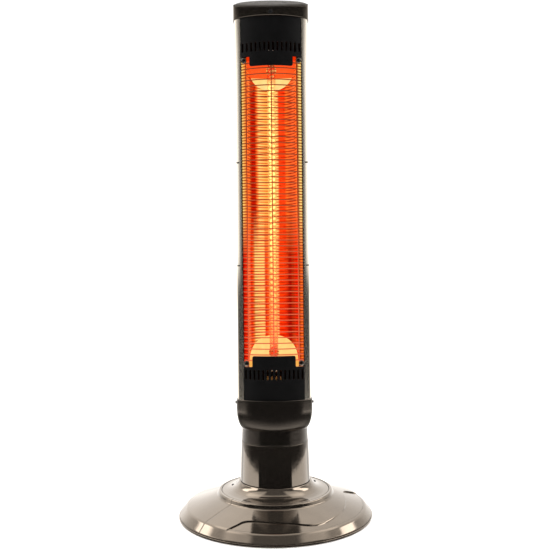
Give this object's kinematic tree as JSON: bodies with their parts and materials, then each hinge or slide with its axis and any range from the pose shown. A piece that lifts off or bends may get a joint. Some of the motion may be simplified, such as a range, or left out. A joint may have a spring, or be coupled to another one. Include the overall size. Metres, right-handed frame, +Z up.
{
  "type": "infrared tower patio heater",
  "caption": "Free-standing electric infrared tower heater: glowing quartz tube in a polished trough behind a wire guard, on a swivelling neck and a round weighted base.",
  "frame": {"origin": "centre of the round base on the floor", "axes": "+Z up along the tower, the glowing front faces -Y, +X to the right of someone who faces the front"},
  "size_m": [0.33, 0.33, 0.903],
  "materials": {
    "gunmetal_gloss": "high gloss, fine metallic flake",
    "gunmetal_anodised": "satin gloss anodised",
    "black_gloss": "piano black gloss",
    "black_matte": "fine matte",
    "black_stove_paint": "matte heat-resistant powder coat",
    "lid_grey": "fine spark texture, satin",
    "polished_aluminium": "mirror polished",
    "plated_wire": "bright plated, heat tinted",
    "steel": "zinc plated",
    "dark_steel": "black oxide",
    "cast_iron": "rough as cast",
    "quartz_glass": "clear fused quartz",
    "glowing_carbon": "incandescent carbon",
    "ceramic": "unglazed steatite",
    "acetal": "natural acetal",
    "rubber": "matte",
    "circuit_board": "solder mask"
  },
  "bodies": {
    "base": {"base_plate": "steel", "ballast_weight": "cast_iron", "base_cover_front": "gunmetal_gloss", "base_cover_rear": "gunmetal_gloss", "base_disc": "gunmetal_gloss", "column": "black_gloss", "cable_gland": "rubber", "tip_over_switch": "black_matte", "swivel_deck": "steel", "swivel_motor": "steel", "bearing_ring": "acetal", "pivot_spindle": "steel", "spindle_nut": "steel", "disc_screw_left": "dark_steel", "disc_screw_right": "dark_steel", "foot_1": "rubber", "foot_2": "rubber", "foot_3": "rubber", "foot_4": "rubber", "foot_5": "rubber", "foot_6": "rubber"},
    "head": {"turntable": "steel", "head_gear": "acetal", "neck_cup": "black_gloss", "cup_screw_right": "dark_steel", "cup_screw_left": "dark_steel", "rear_shell": "gunmetal_gloss", "left_rail": "gunmetal_anodised", "right_rail": "gunmetal_anodised", "front_panel_top": "black_stove_paint", "front_panel_bottom": "black_stove_paint", "reflector": "polished_aluminium", "reflector_end_top": "polished_aluminium", "reflector_end_bottom": "polished_aluminium", "heat_shield": "steel", "heating_tube": "quartz_glass", "filament": "glowing_carbon", "tube_cap_top": "ceramic", "tube_cap_bottom": "ceramic", "guard": "plated_wire", "thermal_cutout": "black_matte", "terminal_block": "ceramic", "top_collar": "black_gloss", "collar_screw": "dark_steel", "top_lid": "lid_grey", "control_board": "circuit_board", "guard_screw_1": "steel", "guard_screw_2": "steel", "guard_screw_3": "steel", "guard_screw_4": "steel", "guard_clip_1": "black_matte", "guard_clip_2": "black_matte", "guard_clip_3": "black_matte", "guard_clip_4": "black_matte"},
    "pinion": {"motor_pinion": "acetal"},
    "power_button": {"button_power": "black_matte"},
    "heat_button": {"button_heat": "black_matte"},
    "swing_button": {"button_swing": "black_matte"}
  },
  "joints": [
    {"name": "head_swivel", "type": "hinge", "parent": "base", "child": "head", "pos_m": [0, 0, 0.1133], "axis": [0, 0, 1], "range_deg": [-35, 35]},
    {"name": "pinion_spin", "type": "hinge", "parent": "base", "child": "pinion", "pos_m": [0, 0.02875, 0.109], "axis": [0, 0, 1], "range_deg": [-127, 127]},
    {"name": "power_press", "type": "slide", "parent": "head", "child": "power_button", "axis": [0, 0.4004, -0.9163], "range_m": [0, 0.0012], "stiffness_N_per_m": 400, "springref_m": -0.001},
    {"name": "heat_press", "type": "slide", "parent": "head", "child": "heat_button", "axis": [0, 0.4004, -0.9163], "range_m": [0, 0.0012], "stiffness_N_per_m": 400, "springref_m": -0.001},
    {"name": "swing_press", "type": "slide", "parent": "head", "child": "swing_button", "axis": [0, 0.4004, -0.9163], "range_m": [0, 0.0012], "stiffness_N_per_m": 400, "springref_m": -0.001}
  ],
  "couplings": [
    {"joint": "pinion_spin", "follows": "head_swivel", "ratio": -3.6}
  ]
}
